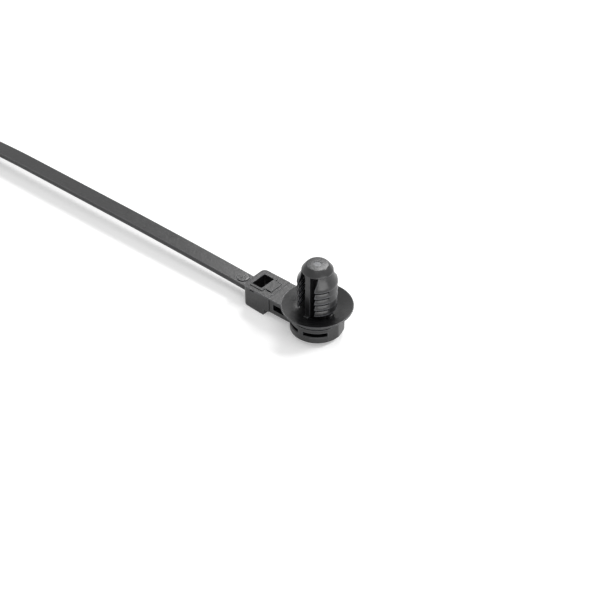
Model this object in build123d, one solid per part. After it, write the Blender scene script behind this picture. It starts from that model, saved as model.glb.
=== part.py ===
from build123d import *
import os
from math import cos, radians, tan

# Black nylon fir tree cable tie, moulded in one piece. Millimetres.
# The origin is the centre of the drum's flat underside, +Z runs up the fir tree,
# and the strap runs out along -X.

# Strap
strap_width = 4.6
strap_thick = 1.5
strap_length = 170.0
strap_top_at_head = 3.2
strap_low_bevel = 0.15
strap_top_bevel = 0.08
strap_step = 0.08          # below the parting line the strap is this much wider each side
strap_step_height = 0.7
arch_reach = 55.0          # from the head to where the strap has climbed to its full height
arch_rise = 0.9            # how much it climbs on that stretch
fall_start = 88.0          # from the head to where it starts down to the floor
flat_tail = 14.0           # last stretch, which lies on the floor
tail_taper = 13.0
tail_tip_width = 2.4
tail_tip_radius = 1.0
grip_rib_count = 8
grip_rib_pitch = 1.4
grip_rib_width = 0.5
grip_rib_height = 0.22
grip_rib_from_tip = 3.0
grip_rib_margin = 0.2      # plain edge at each end of a rib

# Teeth on the strap's underside, between two plain rails
rail_width = 0.75
tooth_pitch = 1.3
tooth_shallow = 0.2
tooth_deep = 0.6
teeth_from_head = 9.0
teeth_from_tip = 22.0

# Round mark on the strap beside the head
mark_dia = 3.4
mark_height = 0.18
mark_from_head = 3.7
mark_dash = (1.7, 0.35)
mark_dash_height = 0.1

# Locking head
head_near_drum = -13.0     # where the head's side steps in to the neck
head_length = 9.0
head_width = 8.8
head_corner = 1.3
head_top = 5.5
head_low = -1.3            # the head's heel, the lowest point of the tie
heel_length = 7.1          # deep part of the head, from the strap end
heel_rise = 0.5            # the heel's underside climbs this much to the strap end
heel_flat = 0.8            # level stretch at the heel's lowest edge
plate_thick = 0.35
plate_overhang = 0.15

# Strap slot and pawl
slot_long = 3.4
slot_wide = 5.1
slot_corner = 0.35
slot_from_strap_end = 1.8
collar_width = 0.65
collar_height = 0.14
collar_corner = 0.8
pad_length = 2.25
pad_width = 4.0
pad_groove = 0.25
pad_groove_length = 1.6
pawl_width = 4.1
pawl_top_gap = 1.3         # pawl tip below the head's top
pawl_length = 3.4
pawl_thick = 0.9
pawl_reach = 1.35          # how far the pawl leans into the slot
pawl_tooth = 0.35
pawl_teeth = 3
pawl_relief = 1.0          # free space behind the pawl, for it to bend into
pawl_clearance = 0.3       # above the pawl's tip and at each of its sides
pawl_tooth_pitch = 0.85
pawl_tooth_lean = 0.225    # each tooth stands this much nearer the wall than the one above
pawl_tooth_slope = 0.13    # how far a tooth's upper face drops towards its tip
side_notch = (1.5, 0.25, 0.5)
side_notch_from_end = 2.4
side_notch_drop = 0.1      # below the plate

# Neck, two beams with a gap between them
neck_step_in = 0.15
neck_low = 1.0
neck_gap_low = 1.9
neck_gap_high = 3.8
neck_wall = 1.4            # solid wall between the head and the gap
neck_plate_drop = 0.1
neck_reach_in = 2.1        # how far it runs in past the drum's side

# Drum under the disc
drum_dia = 14.3
drum_height = 5.2
drum_wall = 1.1
drum_low_bevel = 0.3
hub_dia = 6.4
window_low = 2.05
window_high = 3.4
sill_bevel = 0.4
window_spans = ((-129.0, -94.0), (-82.0, -28.0), (28.0, 82.0), (94.0, 129.0))
end_flat_angle = 28.0      # two flats at the drum's free end meet in the mould seam
lip_height = 0.45          # lip under the disc, above a fine groove
lip_groove = (0.25, 0.12)

# Disc, a thin cup that presses on the panel
disc_dia = 19.0
disc_rim_height = 7.45
disc_edge = 0.32
disc_seat = (0.3, 0.05)    # where its underside enters the drum: in from the side, below the top
disc_root = (0.75, 0.3)    # the same for its root inside the drum
cup_floor_dia = 10.4
cup_floor_height = 5.5

# Fir tree
tree_top = 20.35
cap_flat_dia = 5.74
cap_dia = 8.1
cap_shoulder = 1.3
cap_bulge = 0.07           # the shoulder is slightly rounded
cap_edge = 0.3
cap_mark_dia = 2.0
cap_mark_depth = 0.1
web_thick = 1.57
web_width = 7.9
rib_thick = 2.6
rib_reach = 5.2
root_reach = 4.1           # the core is slimmer below the lowest fin
fin_dia = 10.4
fin_count = 5
fin_pitch = 1.87
fin_lowest = 7.62          # lower edge of the lowest fin
fin_arm = 0.9              # thickness of a fin's sloping arm, measured upright
fin_edge = 1.5             # height of the skirt at a fin's outer edge
fin_skirt = 0.35
fin_flare = 0.34           # a skirt leans in by this much from its lower edge to its top
fin_slope = 30.0
fin_inner = 1.0            # radius inside the core where the arms start
lead_waist = (4.35, 1.65)  # lead-in fin: radius, and height above its lower edge
lead_lip = (4.72, 0.85)    # the same where the flare of its lower edge begins
lead_inset = 0.1           # it meets the cap this far inside the cap's edge
channel_half = 2.7         # open channel between the web and the fins
foot_height = 1.15
web_foot_height = 0.7
foot_size = 1.1
rib_foot_width = 1.6
rib_foot_sink = 0.37       # how far the foot runs into the rib
web_foot_width = 1.3
web_foot_sink = 0.5

# Allowances of the modelling itself
root_sink = 0.4            # how far a joined piece runs into the one that carries it
tree_sink = 0.2            # the same for the tree's foot in the drum's top
overlap = 0.1              # how far faces that only meet are pushed into each other
clear = 1.0                # how far a cutter runs past what it cuts
same = 0.01                # two places closer than this are the same

# Worked out from the values above
head_end = head_near_drum - head_length
slot_end = head_end + slot_from_strap_end
slot_mid = slot_end + slot_long / 2
slot_wall = slot_end + slot_long
heel_end = head_end + heel_length
strap_tip = head_end - strap_length
strap_under_at_head = strap_top_at_head - strap_thick
strap_low_width = strap_width + 2 * strap_step
touch_run = strap_length - flat_tail
plate_under = head_top - plate_thick
side_half = head_width / 2 - plate_overhang
neck_half = side_half - neck_step_in
fin_radius = fin_dia / 2
drum_radius = drum_dia / 2
tree_low = drum_height - tree_sink
lead_low = fin_lowest + (fin_count - 1) * fin_pitch
cap_low = tree_top - cap_shoulder - cap_edge


def block(x_low, x_high, y_low, y_high, z_low, z_high):
    size = (x_high - x_low, y_high - y_low, z_high - z_low)
    middle = ((x_low + x_high) / 2, (y_low + y_high) / 2, (z_low + z_high) / 2)
    return Pos(*middle) * Box(*size)


def side_face(points):
    """Flat face in the XZ plane, from points given as (x, z)."""
    return make_face(Polyline(*[(x, 0, z) for x, z in points], close=True))


def side_prism(points, width):
    return extrude(side_face(points), amount=width / 2, dir=(0, 1, 0), both=True)


def ring(points):
    """Solid of revolution about the tree's axis, from points given as (radius, z)."""
    return revolve(side_face(points), Axis.Z)


def underside(run):
    """Height of the strap's underside at a run from the head: a climb, level, then down."""
    crest = strap_under_at_head + arch_rise
    drop = crest - head_low
    half_fall = (touch_run - fall_start) / 2
    if run <= arch_reach:
        return crest - arch_rise * ((arch_reach - run) / arch_reach) ** 2
    if run <= fall_start:
        return crest
    if run <= fall_start + half_fall:
        return crest - drop * ((run - fall_start) / half_fall) ** 2 / 2
    if run <= touch_run:
        return head_low + drop * ((touch_run - run) / half_fall) ** 2 / 2
    return head_low


def strap_line(lift):
    """The strap's side outline at a lift above its underside, as arcs and straight lines."""
    middle = (fall_start + touch_run) / 2
    edges = []
    for start, end in ((0.0, arch_reach), (fall_start, middle), (middle, touch_run)):
        runs = (start, (start + end) / 2, end)
        edges.append(ThreePointArc(*[(head_end - r, 0, underside(r) + lift) for r in runs]))
    for start, end in ((arch_reach, fall_start), (touch_run, strap_length)):
        edges.append(Line(*[(head_end - r, 0, underside(r) + lift) for r in (start, end)]))
    return edges


def strap_band(low_lift, high_lift, width):
    """A band along the whole strap between two lifts above its underside."""
    edges = strap_line(low_lift) + strap_line(high_lift)
    for run in (0.0, strap_length):
        x, z = head_end - run, underside(run)
        edges.append(Line((x, 0, z + low_lift), (x, 0, z + high_lift)))
    return extrude(make_face(edges), amount=width / 2, dir=(0, 1, 0), both=True)


def long_edges(body, lift):
    """The edges that run along the strap at a lift above its underside, on both sides."""
    found = []
    for edge in body.edges():
        middle = edge.center()
        height = middle.Z - underside(head_end - middle.X)
        if abs(height - lift) < same and edge.length > 2 * strap_low_width:
            found.append(edge)
    return found


def strap_blank():
    """The strap before its teeth: a wider band below the parting line, a narrower one above."""
    low = strap_band(0.0, strap_step_height, strap_low_width)
    low = chamfer(long_edges(low, 0.0), strap_low_bevel)
    high = strap_band(strap_step_height - overlap, strap_thick, strap_width)
    high = chamfer(long_edges(high, strap_thick), strap_top_bevel)
    return low + high


def tooth_channel():
    """Sawtooth-roofed channel that leaves the teeth between the two rails."""
    count = int((strap_length - teeth_from_head - teeth_from_tip) / tooth_pitch)
    start = teeth_from_head
    points = [(head_end - start, head_low - clear)]
    for i in range(count):
        near = start + i * tooth_pitch
        far = near + tooth_pitch
        points.append((head_end - near, underside(near) + tooth_shallow))
        points.append((head_end - far, underside(far) + tooth_deep))
    points.append((head_end - start - count * tooth_pitch, head_low - clear))
    return side_prism(points, strap_width - 2 * rail_width)


def tail_cutter():
    """What is cut away in plan to leave the tapered, round-ended tail."""
    taper_start = strap_tip + tail_taper
    half = tail_tip_width / 2
    wide = strap_low_width / 2
    outline = make_face(Polyline((strap_tip, -half), (strap_tip, half), (taper_start, wide),
                                 (taper_start, -wide), close=True))
    tip = [v for v in outline.vertices() if abs(v.X - strap_tip) < same]
    outline = fillet(tip, tail_tip_radius)
    blank = Rectangle(2 * tail_taper, 2 * strap_width).moved(Pos(strap_tip, 0))
    tall = strap_thick + 2 * clear
    return extrude((blank - outline).moved(Pos(0, 0, head_low - clear)), amount=tall)


def grip_ribs():
    """Cross ribs on top of the tail, which follow its taper."""
    ribs = []
    top = head_low + strap_thick
    widening = (strap_low_width - tail_tip_width) / 2 / tail_taper
    for i in range(grip_rib_count):
        x = strap_tip + grip_rib_from_tip + i * grip_rib_pitch
        half = min(tail_tip_width / 2 + widening * (x - strap_tip), strap_width / 2)
        half = half - grip_rib_margin
        ribs.append(block(x, x + grip_rib_width, -half, half, top - overlap, top + grip_rib_height))
    return ribs


def round_mark():
    x = head_end - mark_from_head
    top = underside(mark_from_head) + strap_thick
    boss = Pos(x, 0, top) * Cylinder(mark_dia / 2, 2 * mark_height)
    dash_long, dash_wide = mark_dash
    dash_top = top + mark_height + mark_dash_height
    dash = block(x - dash_wide / 2, x + dash_wide / 2, -dash_long / 2, dash_long / 2, top, dash_top)
    return [boss, dash]


def strap():
    body = strap_blank() - tooth_channel() - tail_cutter()
    for piece in grip_ribs() + round_mark():
        body = body + piece
    root = block(head_end - same, head_end + root_sink, -strap_width / 2, strap_width / 2,
                 strap_under_at_head + strap_low_bevel, strap_top_at_head)
    return body + root


def plan_block(x_low, x_high, half, corner, z_low, z_high):
    """Block whose two corners at the low-X end are rounded in plan."""
    face = Rectangle(x_high - x_low, 2 * half).moved(Pos((x_low + x_high) / 2, 0))
    ends = [v for v in face.vertices() if abs(v.X - x_low) < same]
    return extrude(fillet(ends, corner).moved(Pos(0, 0, z_low)), amount=z_high - z_low)


def slot_cutter():
    face = RectangleRounded(slot_long, slot_wide, slot_corner).moved(Pos(slot_mid, 0))
    tall = head_top + collar_height - head_low + 2 * clear
    return extrude(face.moved(Pos(0, 0, head_low - clear)), amount=tall)


def pawl_pocket():
    """Room behind the pawl, open to the slot and to the underside."""
    high = head_top - pawl_top_gap + pawl_clearance
    half = pawl_width / 2 + pawl_clearance
    return block(slot_wall - overlap, slot_wall + pawl_relief, -half, half, head_low - clear, high)


def pawl():
    """Toothed tongue that leans into the slot, hinged at the foot of the slot's wall."""
    tip_z = head_top - pawl_top_gap
    foot_z = tip_z - pawl_length
    back = slot_wall + pawl_relief + root_sink
    front = slot_wall - pawl_reach
    points = [(back, foot_z - pawl_thick), (back, foot_z), (front + pawl_thick, tip_z), (front, tip_z)]
    for i in range(1, pawl_teeth + 1):
        x = front + i * pawl_tooth_lean
        z = tip_z - i * pawl_tooth_pitch
        points.append((x + pawl_tooth, z + pawl_tooth_slope))
        points.append((x, z))
    return side_prism(points, pawl_width)


def top_relief():
    """Raised collar round the slot and the raised pad between the slot and the neck."""
    collar_half = slot_wide / 2 + collar_width
    collar_end = slot_wall + collar_width
    low, high = head_top - overlap, head_top + collar_height
    collar = plan_block(slot_end - collar_width, collar_end, collar_half, collar_corner, low, high)
    pad = block(collar_end - overlap, collar_end + pad_length, -pad_width / 2, pad_width / 2, low, high)
    return [collar, pad]


def pad_grooves():
    """A short groove along each side of the pad, at its end by the neck."""
    pad_end = slot_wall + collar_width + pad_length
    grooves = []
    for side in (-1, 1):
        across = sorted((side * pad_width / 2, side * (pad_width / 2 + pad_groove)))
        grooves.append(block(pad_end - pad_groove_length, pad_end, *across,
                             head_top - pad_groove, head_top + clear))
    return grooves


def side_notches():
    """Small notch high in each side of the head, near the strap."""
    long, deep, tall = side_notch
    top = plate_under - side_notch_drop
    start = head_end + side_notch_from_end
    cuts = []
    for side in (-1, 1):
        across = sorted((side * (side_half - deep), side * (side_half + clear)))
        cuts.append(block(start, start + long, *across, top - tall, top))
    return cuts


def head():
    deep = plan_block(head_end, heel_end, side_half, head_corner, head_low, plate_under)
    ramp_end = heel_end - heel_flat
    ramp = side_prism([(head_end - clear, head_low - clear), (ramp_end, head_low - clear),
                       (ramp_end, head_low), (head_end, head_low + heel_rise),
                       (head_end - clear, head_low + heel_rise)], 2 * head_width)
    shallow = block(heel_end - root_sink, head_near_drum, -side_half, side_half,
                    neck_low, plate_under)
    plate = plan_block(head_end, head_near_drum, head_width / 2, head_corner,
                       plate_under, head_top)
    body = deep - ramp + shallow + plate
    for piece in top_relief():
        body = body + piece
    body = body - slot_cutter() - pawl_pocket()
    for cut in pad_grooves() + side_notches():
        body = body - cut
    return body + pawl()


def neck():
    """Two beams under one plate, run in past the drum's side."""
    inner = neck_reach_in - drum_radius
    start = head_near_drum - root_sink
    plate_top = head_top - neck_plate_drop
    under = plate_top - plate_thick
    body = block(start, inner, -neck_half, neck_half, neck_low, under)
    body = body + block(start, inner, -head_width / 2, head_width / 2, under, plate_top)
    gap = block(head_near_drum + neck_wall, inner + clear, -head_width, head_width,
                neck_gap_low, neck_gap_high)
    return body - gap


def window_face():
    """Section of a drum window, with a bevelled sill at the outside."""
    inner = drum_radius - drum_wall - overlap
    outer = drum_radius + clear
    return side_face([(inner, window_low), (drum_radius - sill_bevel, window_low),
                      (outer, window_low - sill_bevel - clear), (outer, window_high),
                      (inner, window_high)])


def end_flats():
    """Cutters for the two flats that meet in the seam at the drum's free end."""
    half_turn = end_flat_angle / 2
    face_at = drum_radius * cos(radians(half_turn))
    cutter = block(face_at, face_at + clear, -drum_radius, drum_radius, -clear, drum_height - lip_height)
    return [Rot(0, 0, side * half_turn) * cutter for side in (-1, 1)]


def drum():
    groove_tall, groove_deep = lip_groove
    lip_low = drum_height - lip_height
    groove_radius = drum_radius - groove_deep
    body = ring([(0, 0), (drum_radius - drum_low_bevel, 0), (drum_radius, drum_low_bevel),
                 (drum_radius, lip_low - groove_tall), (groove_radius, lip_low - groove_tall),
                 (groove_radius, lip_low), (drum_radius, lip_low), (drum_radius, drum_height),
                 (0, drum_height)])
    room = ring([(hub_dia / 2, window_low), (drum_radius - drum_wall, window_low),
                 (drum_radius - drum_wall, window_high), (hub_dia / 2, window_high)])
    body = body - room
    opening = window_face()
    for start, end in window_spans:
        body = body - Rot(0, 0, start) * revolve(opening, Axis.Z, revolution_arc=end - start)
    for flat in end_flats():
        body = body - flat
    return body


def disc():
    """Thin cup, with a solid root in the drum."""
    rim = disc_dia / 2
    seat_in, seat_down = disc_seat
    root_in, root_down = disc_root
    return ring([(0, cup_floor_height), (cup_floor_dia / 2, cup_floor_height),
                 (rim - disc_edge, disc_rim_height), (rim, disc_rim_height),
                 (rim, disc_rim_height - disc_edge),
                 (drum_radius - seat_in, drum_height - seat_down),
                 (drum_radius - root_in, drum_height - root_down), (0, drum_height - root_down)])


def lead_outline():
    """Outer outline of the lead-in fin, from its lower edge up, as (radius, z)."""
    lip_radius, lip_rise = lead_lip
    waist_radius, waist_rise = lead_waist
    return [(fin_radius, lead_low), (lip_radius, lead_low + lip_rise),
            (waist_radius, lead_low + waist_rise), (cap_dia / 2 - lead_inset, cap_low + overlap)]


def rib_outline():
    """Keeps the rib inside the fins, slimmer below them and just within the lead-in fin."""
    inset = [(radius - lead_inset, z) for radius, z in lead_outline()[1:]]
    return ring([(0, tree_low), (root_reach, tree_low), (root_reach, fin_lowest),
                 (rib_reach, fin_lowest), (rib_reach, lead_low), *inset, (0, cap_low + overlap)])


def fin_ring(low):
    """One fin as a full ring: a sloping arm with a skirt at its outer edge."""
    slope = tan(radians(fin_slope))
    rise = (fin_radius - fin_inner) * slope
    skirt_out = fin_radius - fin_flare
    skirt_in = skirt_out - fin_skirt
    arm_top = low + fin_arm + (fin_radius - skirt_in) * slope
    return ring([(fin_inner, low + rise), (fin_radius, low), (skirt_out, low + fin_edge),
                 (skirt_in, low + fin_edge), (skirt_in, arm_top), (fin_inner, low + fin_arm + rise)])


def lead_in():
    """Tall top fin, which narrows up to the cap."""
    rise = (fin_radius - fin_inner) * tan(radians(fin_slope))
    return ring([(fin_inner, lead_low + rise), *lead_outline(), (fin_inner, cap_low + overlap)])


def fins():
    body = lead_in()
    for i in range(fin_count - 1):
        body = body + fin_ring(fin_lowest + i * fin_pitch)
    channel = block(-channel_half, channel_half, -fin_dia, fin_dia, 0, tree_top + clear)
    return body - channel


def cap():
    wide = (cap_dia / 2, 0, tree_top - cap_shoulder)
    flat = (cap_flat_dia / 2, 0, tree_top)
    middle = ((wide[0] + flat[0]) / 2 + cap_bulge, 0, (wide[2] + flat[2]) / 2 + cap_bulge)
    outline = [Line((0, 0, cap_low), (cap_dia / 2, 0, cap_low)),
               Line((cap_dia / 2, 0, cap_low), wide), ThreePointArc(wide, middle, flat),
               Line(flat, (0, 0, tree_top)), Line((0, 0, tree_top), (0, 0, cap_low))]
    solid = revolve(make_face(outline), Axis.Z)
    mark = Pos(0, 0, tree_top) * Cylinder(cap_mark_dia / 2, 2 * cap_mark_depth)
    return solid - mark


def feet():
    """Four small blocks where the rib and the web stand on the cup's floor."""
    low = drum_height - overlap
    rib_half = rib_foot_width / 2
    web_half = web_foot_width / 2
    rib_in = root_reach - rib_foot_sink
    web_in = web_width / 2 - web_foot_sink
    rib_top = cup_floor_height + foot_height
    web_top = cup_floor_height + web_foot_height
    made = []
    for side in (-1, 1):
        x_ends = sorted((side * rib_in, side * (rib_in + foot_size)))
        y_ends = sorted((side * web_in, side * (web_in + foot_size)))
        made.append(block(*x_ends, -rib_half, rib_half, low, rib_top))
        made.append(block(-web_half, web_half, *y_ends, low, web_top))
    return made


def fir_tree():
    high = cap_low + overlap
    web = block(-web_thick / 2, web_thick / 2, -web_width / 2, web_width / 2, tree_low, high)
    rib = block(-rib_reach, rib_reach, -rib_thick / 2, rib_thick / 2, tree_low, high)
    body = web + (rib & rib_outline()) + fins() + cap()
    for foot in feet():
        body = body + foot
    return body


def cable_tie():
    return drum() + disc() + fir_tree() + neck() + head() + strap()


os.makedirs("parts", exist_ok=True)
tie = cable_tie()
tie.label = "cable_tie"
export_step(tie, "parts/cable_tie.step")
print("solids", len(tie.solids()), "volume", round(tie.volume), tie.bounding_box())
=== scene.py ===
from math import cos, pi, radians, sin, tan

import bpy
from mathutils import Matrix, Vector


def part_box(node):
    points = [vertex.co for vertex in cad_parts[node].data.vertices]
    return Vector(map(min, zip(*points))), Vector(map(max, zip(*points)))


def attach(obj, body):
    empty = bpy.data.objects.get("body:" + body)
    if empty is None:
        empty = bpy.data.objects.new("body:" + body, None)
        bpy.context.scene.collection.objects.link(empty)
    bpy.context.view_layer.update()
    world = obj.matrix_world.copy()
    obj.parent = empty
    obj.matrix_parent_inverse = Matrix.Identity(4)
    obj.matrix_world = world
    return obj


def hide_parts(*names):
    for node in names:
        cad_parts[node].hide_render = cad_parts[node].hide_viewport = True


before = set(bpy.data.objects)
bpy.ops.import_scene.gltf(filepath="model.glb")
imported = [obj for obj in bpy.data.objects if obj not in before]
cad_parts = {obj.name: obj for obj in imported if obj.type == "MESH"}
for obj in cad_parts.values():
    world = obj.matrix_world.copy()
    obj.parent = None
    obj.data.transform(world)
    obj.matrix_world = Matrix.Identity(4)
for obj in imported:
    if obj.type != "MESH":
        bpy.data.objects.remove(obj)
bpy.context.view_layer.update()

# The tie is modelled with one unit to the millimetre, and brought to metres at the end.
mm = 0.001
boxLow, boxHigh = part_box("cable_tie")
strapTip = boxLow.x / mm
floorLevel = boxLow.z / mm
treeTop = boxHigh.z / mm
discRadius = boxHigh.y / mm

# Allowances of the modelling itself
near = 0.01              # places closer than this are the same
rising = 0.1             # an edge that climbs more than this counts as upright
overlap = 0.1            # how far faces that only meet are pushed into each other
clear = 1.0              # how far a cutter runs past what it cuts
welded = 1e-5            # corners of a mesh closer than this are made one
sameCorner = 1e-4        # and those closer than this are found as one


# Camera, as the photograph was taken
camera = {
    "azimuth": 39.984,
    "elevation": 38.945,
    "distance": 408.9,      # mm, as are the lens and the aim
    "lens": 92.03,
    "aim": (-10.452, 5.557, 0.0),
    "nearest": 0.01,        # metres, nothing closer is drawn
}


def placeCamera():
    turn, rise = radians(camera["azimuth"]), radians(camera["elevation"])
    back = Vector((sin(turn) * cos(rise), -cos(turn) * cos(rise), sin(rise)))
    place = (Vector(camera["aim"]) + back * camera["distance"]) * mm
    bpy.ops.object.camera_add(location=place, rotation=(pi / 2 - rise, 0, turn))
    made = bpy.context.active_object
    made.data.lens = camera["lens"]
    made.data.clip_start = camera["nearest"]
    bpy.context.scene.camera = made


placeCamera()
print("camera placed")


# Small tools for modelling

def takeUp(piece):
    bpy.ops.object.select_all(action="DESELECT")
    piece.select_set(True)
    bpy.context.view_layer.objects.active = piece


def startEdit(piece, kind):
    takeUp(piece)
    bpy.ops.object.mode_set(mode="EDIT")
    bpy.ops.mesh.select_mode(type=kind)
    bpy.ops.mesh.select_all(action="DESELECT")


def endEdit():
    bpy.ops.object.mode_set(mode="OBJECT")


def pickFaces(piece, wanted):
    # edit mode, with the faces selected whose middle and normal pass the test
    startEdit(piece, "FACE")
    endEdit()
    for face in piece.data.polygons:
        face.select = wanted(face.center, face.normal)
    bpy.ops.object.mode_set(mode="EDIT")


def pickEdges(piece, wanted):
    # edit mode, with the edges selected whose two ends pass the test
    startEdit(piece, "EDGE")
    endEdit()
    corners = piece.data.vertices
    for edge in piece.data.edges:
        edge.select = wanted(*[corners[i].co for i in edge.vertices])
    bpy.ops.object.mode_set(mode="EDIT")


def upright(a, b):
    # true of an edge that runs up, from its two ends
    return abs(a.z - b.z) > rising


def faceOutwards(piece):
    startEdit(piece, "VERT")
    bpy.ops.mesh.select_all(action="SELECT")
    bpy.ops.mesh.remove_doubles(threshold=welded)
    bpy.ops.mesh.normals_make_consistent(inside=False)
    endEdit()


def block(name, x, y, z):
    # a block between two places on each axis, ready to be shaped
    bpy.ops.object.select_all(action="DESELECT")
    middle = [(a + b) / 2 for a, b in (x, y, z)]
    bpy.ops.mesh.primitive_cube_add(size=1, location=middle)
    piece = bpy.context.active_object
    piece.name = name
    piece.scale = [b - a for a, b in (x, y, z)]
    bpy.ops.object.transform_apply(location=True, rotation=True, scale=True)
    return piece


def traced(name, outline, closed):
    # an outline drawn point by point, from a plane gathered into one corner
    bpy.ops.object.select_all(action="DESELECT")
    bpy.ops.mesh.primitive_plane_add(size=1, location=(0, 0, 0))
    piece = bpy.context.active_object
    piece.name = name
    startEdit(piece, "VERT")
    bpy.ops.mesh.select_all(action="SELECT")
    bpy.ops.mesh.merge(type="CENTER")
    points = [Vector(point) for point in outline]
    bpy.ops.transform.translate(value=points[0])
    for here, there in zip(points, points[1:]):
        bpy.ops.mesh.extrude_region_move(TRANSFORM_OT_translate={"value": there - here})
    if closed:
        endEdit()
        for corner in piece.data.vertices:
            reach = min((corner.co - points[0]).length, (corner.co - points[-1]).length)
            corner.select = reach < sameCorner
        bpy.ops.object.mode_set(mode="EDIT")
        bpy.ops.mesh.edge_face_add()
    endEdit()
    return piece


def prism(name, outline, width):
    # a side outline of (x, z) pulled out across the tie, half to each side
    piece = traced(name, [(x, -width / 2, z) for x, z in outline], True)
    startEdit(piece, "VERT")
    bpy.ops.mesh.select_all(action="SELECT")
    bpy.ops.mesh.edge_face_add()
    bpy.ops.mesh.extrude_region_move(TRANSFORM_OT_translate={"value": (0, width, 0)})
    endEdit()
    faceOutwards(piece)
    return piece


def turned(name, outline, steps, closed=False):
    # a half outline of (radius, height) spun about the tree's axis
    piece = traced(name, [(radius, 0, height) for radius, height in outline], closed)
    startEdit(piece, "VERT")
    bpy.ops.mesh.select_all(action="SELECT")
    bpy.ops.mesh.spin(steps=steps, angle=2 * pi, center=(0, 0, 0), axis=(0, 0, 1))
    endEdit()
    faceOutwards(piece)
    return piece


def turnedSegment(name, outline, start, end, steps):
    # the same over part of a turn, closed at both ends; angles in degrees from +X
    first = radians(start)
    points = [(radius * cos(first), radius * sin(first), height) for radius, height in outline]
    piece = traced(name, points, True)
    startEdit(piece, "VERT")
    bpy.ops.mesh.select_all(action="SELECT")
    bpy.ops.mesh.edge_face_add()
    bpy.ops.mesh.spin(steps=steps, angle=radians(start - end), center=(0, 0, 0), axis=(0, 0, 1))
    endEdit()
    faceOutwards(piece)
    return piece


def apply(piece, kind, **settings):
    takeUp(piece)
    bpy.ops.object.modifier_add(type=kind)
    modifier = piece.modifiers[-1]
    for setting, value in settings.items():
        setattr(modifier, setting, value)
    bpy.ops.object.modifier_apply(modifier=modifier.name)
    return piece


def combine(piece, other, operation):
    apply(piece, "BOOLEAN", object=other, operation=operation, solver="MANIFOLD")
    bpy.data.objects.remove(other)
    return piece


def cut(piece, cutter):
    return combine(piece, cutter, "DIFFERENCE")


def fuse(piece, other):
    return combine(piece, other, "UNION")


def roundEdges(piece, width, segments=2, sharper=35):
    # small moulded radii on every edge that turns by more than the given angle
    return apply(piece, "BEVEL", width=width, segments=segments, limit_method="ANGLE",
                 angle_limit=radians(sharper), miter_outer="MITER_ARC", use_clamp_overlap=True)


# Strap
strap = {
    "width": 4.6,
    "step": 0.08,           # wider by this on each side, below the parting line
    "stepHeight": 0.7,
    "thick": 1.5,
    "headEnd": -22.0,       # where it leaves the head
    "topAtHead": 3.2,
    "lowBevel": 0.15,
    "topBevel": 0.08,
    "archReach": 55.0,      # from the head to where it has climbed to its full height
    "archRise": 0.9,
    "fallStart": 88.0,      # from the head to where it starts down to the floor
    "flatTail": 14.0,
    "tailTaper": 13.0,
    "tailWidth": 2.4,
    "tailRound": 1.0,
    "railWidth": 0.75,
    "toothPitch": 1.3,
    "toothDepth": 0.4,
    "toothShare": 0.94,     # of the pitch that a tooth takes
    "channelDepth": 0.6,
    "teethFromHead": 9.0,
    "teethFromTip": 22.0,
    "markRadius": 1.7,
    "markSides": 56,
    "markHeight": 0.22,
    "markEdge": 0.06,
    "dash": (0.36, 1.7),    # on the mark, its size along and across the strap
    "dashHeight": 0.1,
    "moat": 0.16,           # fine groove round the mark
    "markFromHead": 3.7,
    "gripRibs": 8,
    "gripPitch": 1.4,
    "gripFromTip": 3.0,
    "gripWidth": 0.5,
    "gripHeight": 0.22,
    "gripMargin": 0.2,      # plain edge at each end of a rib
    "gripEdge": 0.1,
    "trimSink": 0.3,        # how far the dash and the grip ribs run in
    "plainTip": 0.5,        # past the tail's rounding, where the rows start
    "rows": 130,            # cross rows along the strap, which let it arch
    "sink": 0.4,            # how far a joined part runs into the one that carries it
}


def strapLift(x):
    # height of the strap's underside at a place along it: a climb, level, then down to the floor
    run = strap["headEnd"] - x
    reach, rise, start = strap["archReach"], strap["archRise"], strap["fallStart"]
    touch = strap["headEnd"] - strapTip - strap["flatTail"]
    crest = strap["topAtHead"] - strap["thick"] + rise
    halfFall = (touch - start) / 2
    drop = crest - floorLevel
    if run <= reach:
        return crest - rise * ((reach - run) / reach) ** 2
    if run <= start:
        return crest
    if run <= start + halfFall:
        return crest - drop * ((run - start) / halfFall) ** 2 / 2
    if run <= touch:
        return floorLevel + drop * ((touch - run) / halfFall) ** 2 / 2
    return floorLevel


def strapBand(name, inset, z, edge, bevel):
    # a tapered, round-ended band of the strap, drawn in all round, with one pair of edges bevelled
    half = strap["width"] / 2 + strap["step"] - inset
    tipHalf = strap["tailWidth"] / 2 - inset
    start = strap["headEnd"] + strap["sink"]
    piece = block(name, (strapTip + strap["tailTaper"], start), (-half, half), z)
    pickFaces(piece, lambda middle, normal: normal.x < -0.9)
    bpy.ops.mesh.extrude_region_move(TRANSFORM_OT_translate={"value": (inset - strap["tailTaper"], 0, 0)})
    bpy.ops.transform.resize(value=(1, tipHalf / half, 1))
    endEdit()
    pickEdges(piece, lambda a, b: max(a.x, b.x) < strapTip + inset + near and upright(a, b))
    bpy.ops.mesh.bevel(offset=strap["tailRound"], segments=6, affect="EDGES")
    endEdit()
    leastRun = 0.05         # shorter edges turn across the tail's end
    pickEdges(piece, lambda a, b: max(abs(a.z - edge), abs(b.z - edge)) < near and abs(a.x - b.x) > leastRun)
    bpy.ops.mesh.bevel(offset=bevel, segments=2, affect="EDGES")
    endEdit()
    return piece


def strapBlank():
    low = strapBand("strapBlank", 0, (0, strap["stepHeight"]), 0, strap["lowBevel"])
    high = strapBand("strapTop", strap["step"], (strap["stepHeight"] - overlap, strap["thick"]),
                     strap["thick"], strap["topBevel"])
    return fuse(low, high)


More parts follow.
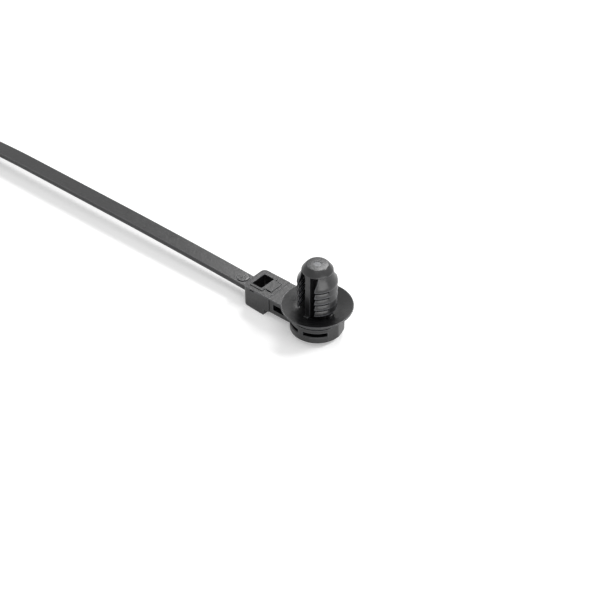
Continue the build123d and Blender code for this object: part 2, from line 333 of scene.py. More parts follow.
def cutToothChannel(piece):
    half = strap["width"] / 2 - strap["railWidth"]
    start = strap["headEnd"] - strap["teethFromHead"]
    end = strapTip + strap["teethFromTip"]
    cutter = block("toothChannel", (end, start), (-half, half), (-clear, strap["channelDepth"]))
    return cut(piece, cutter)


def addTeeth(piece):
    # one tooth, steep towards the head, repeated down the channel
    roof = strap["channelDepth"]
    start = strap["headEnd"] - strap["teethFromHead"]
    length = start - strapTip - strap["teethFromTip"]
    count = int(length / strap["toothPitch"])
    end = start - strap["toothPitch"] * strap["toothShare"]
    outline = [(start, roof + overlap), (start, roof - strap["toothDepth"]), (end, roof),
               (end, roof + overlap)]
    width = strap["width"] - 2 * strap["railWidth"] + overlap
    teeth = prism("teeth", outline, width)
    apply(teeth, "ARRAY", count=count, use_relative_offset=False, use_constant_offset=True,
          constant_offset_displace=(-strap["toothPitch"], 0, 0))
    return fuse(piece, teeth)


def addRows(piece):
    # cross rows, so that the straight strap can be arched
    first, last = strapTip + strap["tailRound"] + strap["plainTip"], strap["headEnd"]
    for i in range(strap["rows"]):
        x = first + (last - first) * i / (strap["rows"] - 1)
        startEdit(piece, "VERT")
        bpy.ops.mesh.select_all(action="SELECT")
        bpy.ops.mesh.bisect(plane_co=(x, 0, 0), plane_no=(1, 0, 0))
        endEdit()
    return piece


def roundBar(name, radius, x, z):
    bpy.ops.object.select_all(action="DESELECT")
    bpy.ops.mesh.primitive_cylinder_add(vertices=strap["markSides"], radius=radius, depth=z[1] - z[0],
                                        location=(x, 0, (z[0] + z[1]) / 2))
    piece = bpy.context.active_object
    piece.name = name
    bpy.ops.object.transform_apply(location=True, rotation=True, scale=True)
    return piece


def addMark(piece):
    # raised round mark beside the head, with a short dash on it
    x = strap["headEnd"] - strap["markFromHead"]
    top = strap["thick"] + strap["markHeight"]
    moatLow = strap["thick"] - strap["moat"]
    cut(piece, roundBar("moat", strap["markRadius"] + strap["moat"], x, (moatLow, top)))
    mark = roundBar("mark", strap["markRadius"], x, (strap["thick"] - 2 * strap["moat"], top))
    roundEdges(mark, strap["markEdge"])
    wide, long = [size / 2 for size in strap["dash"]]
    dash = block("dash", (x - wide, x + wide), (-long, long),
                 (top - strap["trimSink"], top + strap["dashHeight"]))
    roundEdges(dash, strap["markEdge"])
    fuse(piece, mark)
    return fuse(piece, dash)


def addGripRibs(piece):
    for i in range(strap["gripRibs"]):
        x = strapTip + strap["gripFromTip"] + i * strap["gripPitch"]
        spread = (strap["width"] - strap["tailWidth"]) / 2 * (x - strapTip) / strap["tailTaper"]
        half = strap["tailWidth"] / 2 - strap["gripMargin"] + spread
        half = min(half, strap["width"] / 2 - strap["gripMargin"])
        rib = block("gripRib", (x, x + strap["gripWidth"]), (-half, half),
                    (strap["thick"] - strap["trimSink"], strap["thick"] + strap["gripHeight"]))
        roundEdges(rib, strap["gripEdge"])
        fuse(piece, rib)
    return piece


def makeStrap():
    piece = strapBlank()
    cutToothChannel(piece)
    addTeeth(piece)
    addGripRibs(piece)
    addMark(piece)
    addRows(piece)
    for corner in piece.data.vertices:
        corner.co.z += strapLift(corner.co.x)
    print("strap made")
    return piece


# Locking head
head = {
    "end": -22.0,           # where the strap leaves it
    "nearDrum": -13.0,
    "width": 8.8,
    "corner": 1.3,
    "top": 5.5,
    "plateThick": 0.35,
    "plateOverhang": 0.15,
    "plateLap": 0.02,       # it runs this far down into what carries it
    "heelLength": 7.1,
    "heelRise": 0.5,
    "heelFlat": 0.8,
    "underNeck": 0.65,
    "slotLong": 3.4,
    "slotWide": 5.1,
    "slotCorner": 0.35,
    "slotFromEnd": 1.8,
    "collar": 0.65,
    "collarHeight": 0.2,
    "collarCorner": 0.8,
    "reliefSink": 0.2,      # how far the collar and the pad run in
    "padLong": 2.25,
    "padWide": 4.0,
    "padGroove": 0.35,
    "padGrooveLong": 1.6,
    "notch": (1.5, 0.25, 0.5),
    "notchFromEnd": 2.4,
    "notchDrop": 0.1,       # below the plate
    "edge": 0.1,            # moulded radius
    "seam": (0.2, 0.2),     # fine groove under the plate, its height and depth
}

pawl = {
    "width": 4.1,
    "topGap": 1.3,
    "length": 3.4,
    "thick": 0.9,
    "reach": 1.35,          # how far it leans into the slot
    "relief": 1.0,          # free space behind it
    "sideGap": 0.3,
    "teeth": 3,
    "toothDepth": 0.35,
    "toothPitch": 0.85,
    "toothLean": 0.225,     # each tooth stands nearer the wall than the one above
    "toothSlope": 0.13,
    "edge": 0.05,
}


def cornered(name, x, half, z, corner):
    # a block with its two upright edges at the strap end rounded
    piece = block(name, x, (-half, half), z)
    pickEdges(piece, lambda a, b: max(a.x, b.x) < x[0] + near and upright(a, b))
    bpy.ops.mesh.bevel(offset=corner, segments=8, affect="EDGES")
    endEdit()
    return piece


def headBody():
    plateUnder = head["top"] - head["plateThick"]
    sideHalf = head["width"] / 2 - head["plateOverhang"]
    heelEnd = head["end"] + head["heelLength"]
    piece = cornered("head", (head["end"], heelEnd), sideHalf, (floorLevel, plateUnder), head["corner"])
    # the heel's underside climbs to the strap
    slope = Vector((-head["heelRise"], 0, -(head["heelLength"] - head["heelFlat"]))).normalized()
    startEdit(piece, "VERT")
    bpy.ops.mesh.select_all(action="SELECT")
    bpy.ops.mesh.bisect(plane_co=(heelEnd - head["heelFlat"], 0, floorLevel), plane_no=slope,
                        use_fill=True, clear_outer=True)
    endEdit()
    faceOutwards(piece)
    shallow = block("headFront", (heelEnd - strap["sink"], head["nearDrum"]), (-sideHalf, sideHalf),
                    (head["underNeck"], plateUnder))
    fuse(piece, shallow)
    plate = cornered("headPlate", (head["end"], head["nearDrum"]), head["width"] / 2,
                     (plateUnder - head["plateLap"], head["top"]), head["corner"])
    return fuse(piece, plate)


def headRelief(piece):
    slotEnd = head["end"] + head["slotFromEnd"]
    slotWall = slotEnd + head["slotLong"]
    raised = (head["top"] - head["reliefSink"], head["top"] + head["collarHeight"])
    collarHalf = head["slotWide"] / 2 + head["collar"]
    collar = cornered("collar", (slotEnd - head["collar"], slotWall + head["collar"]),
                      collarHalf, raised, head["collarCorner"])
    padEnd = slotWall + head["collar"] + head["padLong"]
    padHalf = head["padWide"] / 2
    pad = block("pad", (slotWall, padEnd), (-padHalf, padHalf), raised)
    fuse(collar, pad)
    fuse(piece, collar)
    for side in (-1, 1):
        across = sorted((side * padHalf, side * (padHalf + head["padGroove"])))
        groove = block("padGroove", (padEnd - head["padGrooveLong"], padEnd), across,
                       (head["top"] - head["padGroove"], head["top"] + clear))
        cut(piece, groove)
    return piece


def cutSideNotches(piece):
    long, deep, tall = head["notch"]
    sideHalf = head["width"] / 2 - head["plateOverhang"]
    top = head["top"] - head["plateThick"] - head["notchDrop"]
    start = head["end"] + head["notchFromEnd"]
    for side in (-1, 1):
        across = sorted((side * (sideHalf - deep), side * (sideHalf + clear)))
        cut(piece, block("notch", (start, start + long), across, (top - tall, top)))
    return piece


def cutSeams(piece, x, half, top):
    # the fine groove along both sides, close under the plate
    tall, deep = head["seam"]
    for side in (-1, 1):
        across = sorted((side * (half - deep), side * (half + clear)))
        cut(piece, block("seam", x, across, (top - tall, top)))
    return piece


def cutSlot(piece):
    slotEnd = head["end"] + head["slotFromEnd"]
    slotWall = slotEnd + head["slotLong"]
    half = head["slotWide"] / 2
    through = (floorLevel - 2 * clear, head["top"] + 2 * clear)
    slot = block("slot", (slotEnd, slotWall), (-half, half), through)
    pickEdges(slot, upright)
    bpy.ops.mesh.bevel(offset=head["slotCorner"], segments=4, affect="EDGES")
    endEdit()
    pocketHalf = pawl["width"] / 2 + pawl["sideGap"]
    pocket = block("pocket", (slotWall - clear, slotWall + pawl["relief"]), (-pocketHalf, pocketHalf),
                   (floorLevel - 2 * clear, head["top"] - pawl["topGap"] + pawl["sideGap"]))
    cut(piece, slot)
    return cut(piece, pocket)


def makePawl():
    # toothed tongue that leans into the slot, hinged at the foot of the slot's wall
    slotWall = head["end"] + head["slotFromEnd"] + head["slotLong"]
    tip = head["top"] - pawl["topGap"]
    foot = tip - pawl["length"]
    back = slotWall + pawl["relief"] + strap["sink"]
    front = slotWall - pawl["reach"]
    outline = [(back, foot - pawl["thick"]), (back, foot), (front + pawl["thick"], tip), (front, tip)]
    for i in range(1, pawl["teeth"] + 1):
        height = tip - i * pawl["toothPitch"]
        x = front + i * pawl["toothLean"]
        outline.append((x + pawl["toothDepth"], height + pawl["toothSlope"]))
        outline.append((x, height))
    piece = prism("pawl", outline, pawl["width"])
    return roundEdges(piece, pawl["edge"])


def makeHead():
    piece = headBody()
    headRelief(piece)
    cutSlot(piece)
    cutSideNotches(piece)
    roundEdges(piece, head["edge"])
    cutSeams(piece, (head["end"] + head["corner"], head["nearDrum"] + near),
             head["width"] / 2 - head["plateOverhang"], head["top"] - head["plateThick"])
    fuse(piece, makePawl())
    print("head made")
    return piece


# Neck, two beams with a gap between them
neck = {
    "stepIn": 0.2,
    "low": 0.65,
    "gapLow": 1.9,
    "gapHigh": 3.8,
    "wall": 1.4,            # solid between the head and the gap
    "plateDrop": 0.1,
    "drumEnd": -5.05,
    "edge": 0.1,
}


def makeNeck():
    half = head["width"] / 2 - head["plateOverhang"] - neck["stepIn"]
    start = head["nearDrum"] - strap["sink"]
    top = head["top"] - neck["plateDrop"]
    under = top - head["plateThick"]
    piece = block("neck", (start, neck["drumEnd"]), (-half, half), (neck["low"], under))
    gap = block("neckGap", (head["nearDrum"] + neck["wall"], neck["drumEnd"] + clear),
                (-head["width"], head["width"]), (neck["gapLow"], neck["gapHigh"]))
    cut(piece, gap)
    wide = head["width"] / 2
    plate = block("neckPlate", (start, neck["drumEnd"]), (-wide, wide), (under - head["plateLap"], top))
    fuse(piece, plate)
    roundEdges(piece, neck["edge"])
    cutSeams(piece, (head["nearDrum"] - near, neck["drumEnd"] + overlap), half, under)
    print("neck made")
    return piece


# Drum
drum = {
    "radius": 7.15,
    "height": 5.2,
    "wall": 0.7,
    "lowBevel": 0.3,
    "hub": 3.2,
    "windowLow": 2.05,
    "windowHigh": 3.4,
    "sillBevel": 0.25,
    "windowPast": 0.5,      # the windows' cutter runs this far out of the drum
    "windows": ((-129, -94), (-82, -28), (28, 82), (94, 129)),
    "flatAngle": 28,        # two flats at the free end meet in the mould seam
    "lip": 0.45,
    "grooveTall": 0.3,
    "grooveDeep": 0.3,
    "edge": 0.08,
    "steps": 120,
}


def makeDrum():
    radius, wallIn = drum["radius"], drum["radius"] - drum["wall"]
    lipLow = drum["height"] - drum["lip"]
    grooveIn = radius - drum["grooveDeep"]
    outline = [(0, 0), (radius - drum["lowBevel"], 0), (radius, drum["lowBevel"]),
               (radius, lipLow - drum["grooveTall"]), (grooveIn, lipLow - drum["grooveTall"]),
               (grooveIn, lipLow), (radius, lipLow), (radius, drum["height"]), (0, drum["height"])]
    piece = turned("drum", outline, drum["steps"])
    room = turned("drumRoom", [(drum["hub"], drum["windowLow"]), (wallIn, drum["windowLow"]),
                               (wallIn, drum["windowHigh"]), (drum["hub"], drum["windowHigh"])],
                  drum["steps"], closed=True)
    cut(piece, room)
    outer = radius + drum["windowPast"]
    fall = drum["sillBevel"] + drum["windowPast"]
    opening = [(wallIn - overlap, drum["windowLow"]), (radius - drum["sillBevel"], drum["windowLow"]),
               (outer, drum["windowLow"] - fall), (outer, drum["windowHigh"]),
               (wallIn - overlap, drum["windowHigh"])]
    for start, end in drum["windows"]:
        steps = round((end - start) / 360 * drum["steps"]) + 1
        cut(piece, turnedSegment("window", opening, start, end, steps))
    cutEndFlats(piece)
    roundEdges(piece, drum["edge"])
    print("drum made")
    return piece


def cutEndFlats(piece):
    halfTurn = radians(drum["flatAngle"] / 2)
    faceAt = drum["radius"] * cos(halfTurn)
    for side in (-1, 1):
        cutter = block("flat", (faceAt, faceAt + clear), (-drum["radius"], drum["radius"]),
                       (-clear, drum["height"] - drum["lip"]))
        takeUp(cutter)
        cutter.rotation_euler.z = side * halfTurn
        bpy.ops.object.transform_apply(location=False, rotation=True, scale=False)
        cut(piece, cutter)


# Disc, a thin cup that presses on the panel
disc = {
    "rimHeight": 7.45,
    "edge": 0.32,
    "floorRadius": 5.2,
    "floorHeight": 5.5,
    "seatIn": 0.3,          # its underside enters the drum this far in from the side
    "seatDrop": 0.05,       # and this far below the drum's top
    "rootRadius": 6.4,
    "rootDrop": 0.3,
    "bend": 1.6,            # the cup's floor turns up into its wall over this length
    "bendPoints": 10,
    "seatBend": 0.4,        # the same where its underside meets the drum
    "seatPoints": 4,
    "round": 0.09,
    "steps": 160,
}


def bend(corner, before, after, length, points):
    # points of a smooth turn in place of a corner of an outline
    corner, before, after = Vector(corner), Vector(before), Vector(after)
    start = corner + (before - corner).normalized() * length
    end = corner + (after - corner).normalized() * length
    made = []
    for i in range(points + 1):
        share = i / points
        made.append((start.lerp(corner, share)).lerp(corner.lerp(end, share), share))
    return [tuple(point) for point in made]


def makeDisc():
    rim, top = discRadius, disc["rimHeight"]
    floorEdge = (disc["floorRadius"], disc["floorHeight"])
    lipIn = (rim - disc["edge"], top)
    under = (drum["radius"] - disc["seatIn"], drum["height"] - disc["seatDrop"])
    root = (disc["rootRadius"], drum["height"] - disc["rootDrop"])
    low = (rim, top - disc["edge"])
    outline = [(0, disc["floorHeight"])]
    outline += bend(floorEdge, (0, disc["floorHeight"]), lipIn, disc["bend"], disc["bendPoints"])
    outline += [lipIn, (rim, top), low]
    outline += bend(under, low, root, disc["seatBend"], disc["seatPoints"])
    outline += [root, (0, root[1])]
    piece = turned("disc", outline, disc["steps"])
    roundEdges(piece, disc["round"], segments=3)
    print("disc made")
    return piece


# Fir tree
tree = {
    "capRadius": 4.12,
    "capFlat": 2.87,
    "capRise": 0.3,         # the rounded cap stands this much above the plain solid
    "capShoulder": 1.3,
    "capEdge": 0.3,
    "capBulge": 0.04,
    "capPoints": 8,         # stretches of its shoulder's curve
    "markRadius": 1.0,
    "markDepth": 0.1,
    "markFlare": 0.1,       # its side leans out by this over the height of its cutter
    "markSteps": 64,
    "webThick": 1.57,
    "webWide": 7.9,
    "ribThick": 2.6,
    "ribReach": 5.2,
    "rootReach": 4.1,       # the rib is slimmer below the lowest fin
    "channelHalf": 2.7,     # open channel between the web and the fins
    "sink": 0.2,            # how far it runs into the drum's top
    "edge": 0.1,
    "steps": 120,
}

fin = {
    "radius": 5.3,
    "count": 5,
    "pitch": 1.87,
    "lowest": 7.62,
    "arm": 0.9,
    "edge": 1.25,
    "skirt": 0.35,
    "flare": 0.36,
    "slope": 30,
    "inner": 1.0,
    "round": 0.06,
}

leadIn = {
    "low": fin["lowest"] + (fin["count"] - 1) * fin["pitch"],
    "lip": (5.15, 1.05),    # radius, and height above the lower edge
    "waist": (4.5, 2.05),
    "inset": 0.1,           # inside the cap's edge, and of the rib inside the fin
}

foot = {
    "ribIn": 3.73,
    "ribHeight": 1.15,
    "ribWide": 1.7,
    "webIn": 3.45,
    "webHeight": 0.7,
    "webWide": 1.3,
    "size": 1.3,
    "edge": 0.14,
}


def keepSides(piece):
    # clears the channel out of a full ring of fins
    half = tree["channelHalf"]
    cutter = block("channel", (-half, half), (-2 * fin["radius"], 2 * fin["radius"]), (0, treeTop + clear))
    return cut(piece, cutter)


def makeFin():
    low, radius = fin["lowest"], fin["radius"]
    slope = tan(radians(fin["slope"]))
    rise = (radius - fin["inner"]) * slope
    skirtOut = radius - fin["flare"]
    skirtIn = skirtOut - fin["skirt"]
    armTop = low + fin["arm"] + (radius - skirtIn) * slope
    outline = [(fin["inner"], low + rise), (radius, low), (skirtOut, low + fin["edge"]),
               (skirtIn, low + fin["edge"]), (skirtIn, armTop), (fin["inner"], low + fin["arm"] + rise)]
    piece = turned("fin", outline, tree["steps"], closed=True)
    keepSides(piece)
    return roundEdges(piece, fin["round"])


def leadOutline(inset):
    # outer line of the tall top fin, from its lip up to the cap
    lip, waist = leadIn["lip"], leadIn["waist"]
    top = treeTop - tree["capShoulder"] - tree["capEdge"] + overlap
    return [(lip[0] - inset, leadIn["low"] + lip[1]), (waist[0] - inset, leadIn["low"] + waist[1]),
            (tree["capRadius"] - leadIn["inset"] - inset, top)]


def makeLeadIn():
    low, inner = leadIn["low"], fin["inner"]
    rise = (fin["radius"] - inner) * tan(radians(fin["slope"]))
    outer = leadOutline(0)
    outline = [(inner, low + rise), (fin["radius"], low), *outer, (inner, outer[-1][1])]
    piece = turned("leadIn", outline, tree["steps"], closed=True)
    keepSides(piece)
    return roundEdges(piece, fin["round"])


def makeCore():
    # web and rib in a cross, the rib trimmed to the fins
    low = drum["height"] - tree["sink"]
    webHalf, webWide = tree["webThick"] / 2, tree["webWide"] / 2
    ribHalf, reach, rootReach = tree["ribThick"] / 2, tree["ribReach"], tree["rootReach"]
    outer = leadOutline(leadIn["inset"])
    high = outer[-1][1]
    envelope = turned("treeOutline", [(0, low), (rootReach, low), (rootReach, fin["lowest"]),
                                      (reach, fin["lowest"]), (reach, leadIn["low"]), *outer,
                                      (0, high)], tree["steps"])
    rib = block("rib", (-reach, reach), (-ribHalf, ribHalf), (low, treeTop))
    combine(rib, envelope, "INTERSECT")
    roundEdges(rib, tree["edge"])
    web = block("web", (-webHalf, webHalf), (-webWide, webWide), (low, high))
    roundEdges(web, tree["edge"])
    return fuse(rib, web)


def makeCap():
    radius, flat = tree["capRadius"], tree["capFlat"]
    shoulder, top = treeTop - tree["capShoulder"], treeTop + tree["capRise"]
    wide, narrow = Vector((radius, shoulder)), Vector((flat, top))
    chord = (wide + narrow) / 2
    middle = chord + Vector((tree["capBulge"], tree["capBulge"]))
    outline = [(0, shoulder - tree["capEdge"]), (radius, shoulder - tree["capEdge"])]
    for i in range(tree["capPoints"] + 1):
        share = i / tree["capPoints"]
        # three-point arc, close enough to its parabola at this depth
        point = wide.lerp(narrow, share) + (middle - chord) * 4 * share * (1 - share)
        outline.append(tuple(point))
    outline.append((0, top))
    piece = turned("cap", outline, tree["steps"])
    roundEdges(piece, tree["edge"], segments=3)
    markLow, markHigh = top - tree["markDepth"], top + clear
    mark = turned("capMark", [(0, markLow), (tree["markRadius"], markLow),
                              (tree["markRadius"] + tree["markFlare"], markHigh), (0, markHigh)],
                  tree["markSteps"])
    return cut(piece, mark)


def addFeet(piece):
    # four small blocks where the web and the rib stand on the cup's floor
    low = drum["height"] - overlap
    ribTop = disc["floorHeight"] + foot["ribHeight"]
    webTop = disc["floorHeight"] + foot["webHeight"]
    for side in (-1, 1):
        along = sorted((side * foot["ribIn"], side * (foot["ribIn"] + foot["size"])))
        across = sorted((side * foot["webIn"], side * (foot["webIn"] + foot["size"])))
        ribFoot = block("ribFoot", along, (-foot["ribWide"] / 2, foot["ribWide"] / 2), (low, ribTop))
        webFoot = block("webFoot", (-foot["webWide"] / 2, foot["webWide"] / 2), across, (low, webTop))
        for made in (ribFoot, webFoot):
            roundEdges(made, foot["edge"], segments=3)
            fuse(piece, made)
    return piece


def makeTree():
    piece = makeCore()
    firstFin = makeFin()
    for i in range(fin["count"] - 1):
        takeUp(firstFin)
        bpy.ops.object.duplicate()
        copy = bpy.context.active_object
        for corner in copy.data.vertices:
            corner.co.z += i * fin["pitch"]
        fuse(piece, copy)
    bpy.data.objects.remove(firstFin)
    fuse(piece, makeLeadIn())
    fuse(piece, makeCap())
    addFeet(piece)
    print("fir tree made")
    return piece


# The whole moulding
shading = {
    "smoothUnder": 38,      # degrees, edges that turn by less are shaded smooth
    "flatWeight": 90,       # large faces set the shading of the small radii beside them
}


def makeTie():
    piece = makeDrum()
    for other in (makeDisc(), makeNeck(), makeHead(), makeTree(), makeStrap()):
        fuse(piece, other)
    piece.name = "cableTie"
    faceOutwards(piece)
    startEdit(piece, "VERT")
    bpy.ops.mesh.select_all(action="SELECT")
    bpy.ops.transform.resize(value=(mm, mm, mm), center_override=(0, 0, 0))
    endEdit()
    takeUp(piece)
    bpy.ops.object.shade_smooth_by_angle(angle=radians(shading["smoothUnder"]))
    apply(piece, "WEIGHTED_NORMAL", keep_sharp=True, weight=shading["flatWeight"])
    print("tie joined:", len(piece.data.polygons), "faces")
    return piece


# Materials

def hexColour(code):
    # sRGB hex to the linear values that the shader wants
    parts = [int(code[i:i + 2], 16) / 255 for i in (1, 3, 5)]
    linear = [part / 12.92 if part <= 0.04045 else ((part + 0.055) / 1.055) ** 2.4 for part in parts]
    return (*linear, 1.0)


def addNode(nodeTree, kind, settings=None, links=None):
    # settings go on the node or its sockets; links are {input: (node, output)}
    made = nodeTree.nodes.new(kind)
    for name, value in (settings or {}).items():
        if name in made.inputs:
            made.inputs[name].default_value = value
        else:
            setattr(made, name, value)
    for name, (source, output) in (links or {}).items():
        nodeTree.links.new(source.outputs[output], made.inputs[name])
    return made


def newMaterial(name):
    material = bpy.data.materials.new(name)
    material.use_nodes = True
    material.node_tree.nodes.clear()
    return material


nylon = {
    "colour": "#0a0a0b",
    "paler": "#101012",
    "roughness": (0.22, 0.44),
    "ior": 1.53,
    "specular": 0.5,
    "grain": 0.7,           # mm, spark-eroded mould texture, drawn four times too coarse so that it shows
    "grainDepth": 0.05,     # mm
    "grainStrength": 0.8,
    "clouding": 1.5,        # mm, slow change of gloss where the melt cooled
    "paintedEdgeHighlight": "#404144",    # painted highlight: thin edges drawn paler, standing in for the light their small radii catch
    "highlightWidth": 0.25,       # mm
    "highlightFrom": 0.97,        # share of clear rays into the solid, below which an edge takes the painted highlight
    "highlightFull": 0.6,         # and the share at which the painted highlight is strongest
    "highlightSamples": 8,
    "gateAndSheen": "#5c5d60",      # stress-whitened where the gate was torn off, on the cap; a small share of it is also painted sheen over the cap's flat
    "paintedCapSheen": 0.06,       # painted sheen: share of that laid over the rest of the cap's flat, so that its lit top reads brighter
    "gateSqueeze": 4,       # the pattern's ball is this much flatter than it is wide
    "gateFade": 0.05,       # of the ball, over which the painted sheen begins
    "gateSoft": 0.03,       # of the ball, each side of the gate's edge, where it turns pale
}


def mouldedNylon():
    # PA66, injection moulded in a fine matt tool: a dark face with a soft wide sheen,
    # a slight change of gloss from place to place, a fine dry grain, a painted highlight on thin edges and
    # painted sheen on the cap's flat
    material = newMaterial("mouldedNylonPA66")
    nodeTree = material.node_tree
    place = addNode(nodeTree, "ShaderNodeTexCoord")
    # painted highlight: where rays into the solid soon meet its far side, that is on thin edges, the colour
    # is made paler
    depth = addNode(nodeTree, "ShaderNodeAmbientOcclusion",
                    {"inside": True, "only_local": True, "samples": nylon["highlightSamples"],
                     "Distance": nylon["highlightWidth"] * mm})
    edge = addNode(nodeTree, "ShaderNodeMapRange",
                   {"From Min": nylon["highlightFrom"], "From Max": nylon["highlightFull"]}, {"Value": (depth, "AO")})
    clouds = addNode(nodeTree, "ShaderNodeTexNoise", {"Scale": 1 / (nylon["clouding"] * mm), "Detail": 3.0},
                     {"Vector": (place, "Object")})
    grain = addNode(nodeTree, "ShaderNodeTexNoise", {"Scale": 1 / (nylon["grain"] * mm), "Detail": 2.0},
                    {"Vector": (place, "Object")})
    gloss = addNode(nodeTree, "ShaderNodeMapRange",
                    {"To Min": nylon["roughness"][0], "To Max": nylon["roughness"][1]},
                    {"Value": (clouds, "Fac")})
    colour = addNode(nodeTree, "ShaderNodeMix", {"data_type": "RGBA"})
    colour.inputs[6].default_value = hexColour(nylon["colour"])
    colour.inputs[7].default_value = hexColour(nylon["paler"])
    nodeTree.links.new(grain.outputs["Fac"], colour.inputs[0])
    # the painted edge highlight mixed over the dark colour
    paintedEdgeHighlight = addNode(nodeTree, "ShaderNodeMix", {"data_type": "RGBA"})
    nodeTree.links.new(edge.outputs["Result"], paintedEdgeHighlight.inputs[0])
    nodeTree.links.new(colour.outputs[2], paintedEdgeHighlight.inputs[6])
    paintedEdgeHighlight.inputs[7].default_value = hexColour(nylon["paintedEdgeHighlight"])
    # a flattened ball round the middle of the cap's top: nothing outside, painted sheen inside, palest at
    # the gate
    flat = tree["capFlat"] * mm
    squeeze = nylon["gateSqueeze"] / flat
    capTop = (treeTop + tree["capRise"]) * mm
    around = addNode(nodeTree, "ShaderNodeMapping",
                     {"Location": (0, 0, -capTop * squeeze), "Scale": (1 / flat, 1 / flat, squeeze)},
                     {"Vector": (place, "Object")})
    ball = addNode(nodeTree, "ShaderNodeTexGradient", {"gradient_type": "SPHERICAL"},
                   {"Vector": (around, "Vector")})
    atGate = 1 - tree["markRadius"] / tree["capFlat"]
    # painted sheen: the cap's whole flat a little paler, standing in for the light on its top
    paintedSheen = addNode(nodeTree, "ShaderNodeMapRange",
                   {"From Max": nylon["gateFade"], "To Max": nylon["paintedCapSheen"]}, {"Value": (ball, "Fac")})
    torn = addNode(nodeTree, "ShaderNodeMapRange",
                   {"From Min": atGate - nylon["gateSoft"], "From Max": atGate + nylon["gateSoft"],
                    "To Max": 1 - nylon["paintedCapSheen"]},
                   {"Value": (ball, "Fac")})
    pale = addNode(nodeTree, "ShaderNodeMath", {"operation": "ADD"})
    nodeTree.links.new(paintedSheen.outputs["Result"], pale.inputs[0])
    nodeTree.links.new(torn.outputs["Result"], pale.inputs[1])
    gateAndSheenColour = addNode(nodeTree, "ShaderNodeMix", {"data_type": "RGBA"})
    nodeTree.links.new(pale.outputs[0], gateAndSheenColour.inputs[0])
    nodeTree.links.new(paintedEdgeHighlight.outputs[2], gateAndSheenColour.inputs[6])
    gateAndSheenColour.inputs[7].default_value = hexColour(nylon["gateAndSheen"])
    bump = addNode(nodeTree, "ShaderNodeBump",
                   {"Strength": nylon["grainStrength"], "Distance": nylon["grainDepth"] * mm},
                   {"Height": (grain, "Fac")})
    shader = addNode(nodeTree, "ShaderNodeBsdfPrincipled",
                     {"IOR": nylon["ior"], "Specular IOR Level": nylon["specular"]},
                     {"Roughness": (gloss, "Result"), "Normal": (bump, "Normal")})
    nodeTree.links.new(gateAndSheenColour.outputs[2], shader.inputs["Base Color"])
    addNode(nodeTree, "ShaderNodeOutputMaterial", {}, {"Surface": (shader, "BSDF")})
    return material


# Floor, world and lamps
studio = {
    "floorSize": 4.0,       # metres
    "floorColour": "#e8e8e8",
    "floorLift": 0.32,      # added where the camera sees it, so that it reads white
    "fadeFrom": 0.25,       # metres from the tie, from where the floor fades to the white backdrop
    "fadeTo": 0.6,
    "fill": 0.3,            # the world's own light on the tie
}

# turn is from +X towards +Y and rise is above level, in degrees; distance and size are in metres
keySoftbox = {"turn": 46, "rise": 46, "distance": 0.6, "size": (0.16, 0.16), "power": 1.7}
backSoftbox = {"turn": 116, "rise": 47, "distance": 1.0, "size": (0.32, 0.32), "power": 3.9}
frontSoftbox = {"turn": -22, "rise": 10, "distance": 0.5, "size": (0.5, 0.18), "power": 1.25}
topSoftbox = {"turn": -40, "rise": 72, "distance": 0.8, "size": (0.6, 0.6), "power": 2.2}


def whereSeen(nodeTree):
    # one where the camera, a reflection or a clear material looks, and nothing for the light
    rays = addNode(nodeTree, "ShaderNodeLightPath")
    mirrored = addNode(nodeTree, "ShaderNodeMath", {"operation": "MAXIMUM"})
    nodeTree.links.new(rays.outputs["Is Camera Ray"], mirrored.inputs[0])
    nodeTree.links.new(rays.outputs["Is Glossy Ray"], mirrored.inputs[1])
    seen = addNode(nodeTree, "ShaderNodeMath", {"operation": "MAXIMUM"})
    nodeTree.links.new(mirrored.outputs[0], seen.inputs[0])
    nodeTree.links.new(rays.outputs["Is Transmission Ray"], seen.inputs[1])
    return seen


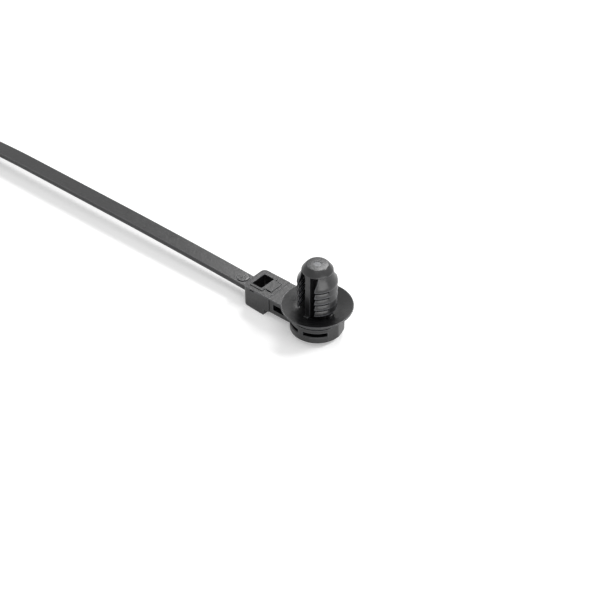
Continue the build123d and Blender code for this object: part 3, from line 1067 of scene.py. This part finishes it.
def makeFloor():
    bpy.ops.object.select_all(action="DESELECT")
    bpy.ops.mesh.primitive_plane_add(size=studio["floorSize"], location=(0, 0, boxLow.z))
    floor = bpy.context.active_object
    floor.name = "floor"
    bpy.ops.object.transform_apply(location=True, rotation=True, scale=True)
    material = newMaterial("paleCard")
    nodeTree = material.node_tree
    place = addNode(nodeTree, "ShaderNodeTexCoord")
    away = addNode(nodeTree, "ShaderNodeVectorMath", {"operation": "LENGTH"})
    nodeTree.links.new(place.outputs["Object"], away.inputs[0])
    white = addNode(nodeTree, "ShaderNodeMapRange",
                    {"From Min": studio["fadeFrom"], "From Max": studio["fadeTo"],
                     "To Min": studio["floorLift"]},
                    {"Value": (away, "Value")})
    lift = addNode(nodeTree, "ShaderNodeMath", {"operation": "MULTIPLY"})
    nodeTree.links.new(white.outputs["Result"], lift.inputs[0])
    nodeTree.links.new(whereSeen(nodeTree).outputs[0], lift.inputs[1])
    card = addNode(nodeTree, "ShaderNodeBsdfDiffuse", {"Color": hexColour(studio["floorColour"])})
    glow = addNode(nodeTree, "ShaderNodeEmission", {}, {"Strength": (lift, 0)})
    both = addNode(nodeTree, "ShaderNodeAddShader")
    nodeTree.links.new(card.outputs[0], both.inputs[0])
    nodeTree.links.new(glow.outputs[0], both.inputs[1])
    addNode(nodeTree, "ShaderNodeOutputMaterial", {}, {"Surface": (both, 0)})
    floor.data.materials.append(material)


def makeWorld():
    world = bpy.data.worlds.new("studioWhite")
    world.use_nodes = True
    nodeTree = world.node_tree
    nodeTree.nodes.clear()
    level = addNode(nodeTree, "ShaderNodeMapRange", {"To Min": studio["fill"], "To Max": 1.0},
                    {"Value": (whereSeen(nodeTree), 0)})
    sky = addNode(nodeTree, "ShaderNodeBackground", {"Color": (1, 1, 1, 1)}, {"Strength": (level, "Result")})
    addNode(nodeTree, "ShaderNodeOutputWorld", {}, {"Surface": (sky, "Background")})
    bpy.context.scene.world = world


def addLamp(name, lamp):
    turn, rise, reach = radians(lamp["turn"]), radians(lamp["rise"]), lamp["distance"]
    place = Vector((cos(turn) * cos(rise), sin(turn) * cos(rise), sin(rise))) * reach
    bpy.ops.object.light_add(type="AREA", location=place)
    made = bpy.context.active_object
    made.name = name
    made.rotation_euler = place.to_track_quat("Z", "Y").to_euler()
    made.data.shape = "RECTANGLE"
    made.data.size, made.data.size_y = lamp["size"]
    made.data.energy = lamp["power"]


def makeLight():
    # one softbox on the right, a wide one behind the tie, a low one in front and one overhead
    addLamp("keySoftbox", keySoftbox)
    addLamp("backSoftbox", backSoftbox)
    addLamp("frontSoftbox", frontSoftbox)
    addLamp("topSoftbox", topSoftbox)


tie = makeTie()
tie.data.materials.clear()
tie.data.materials.append(mouldedNylon())
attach(tie, "root")
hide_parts("cable_tie")
print("materials set")

makeFloor()
makeWorld()
makeLight()
bpy.context.scene.view_settings.view_transform = "Standard"
print("studio lit")
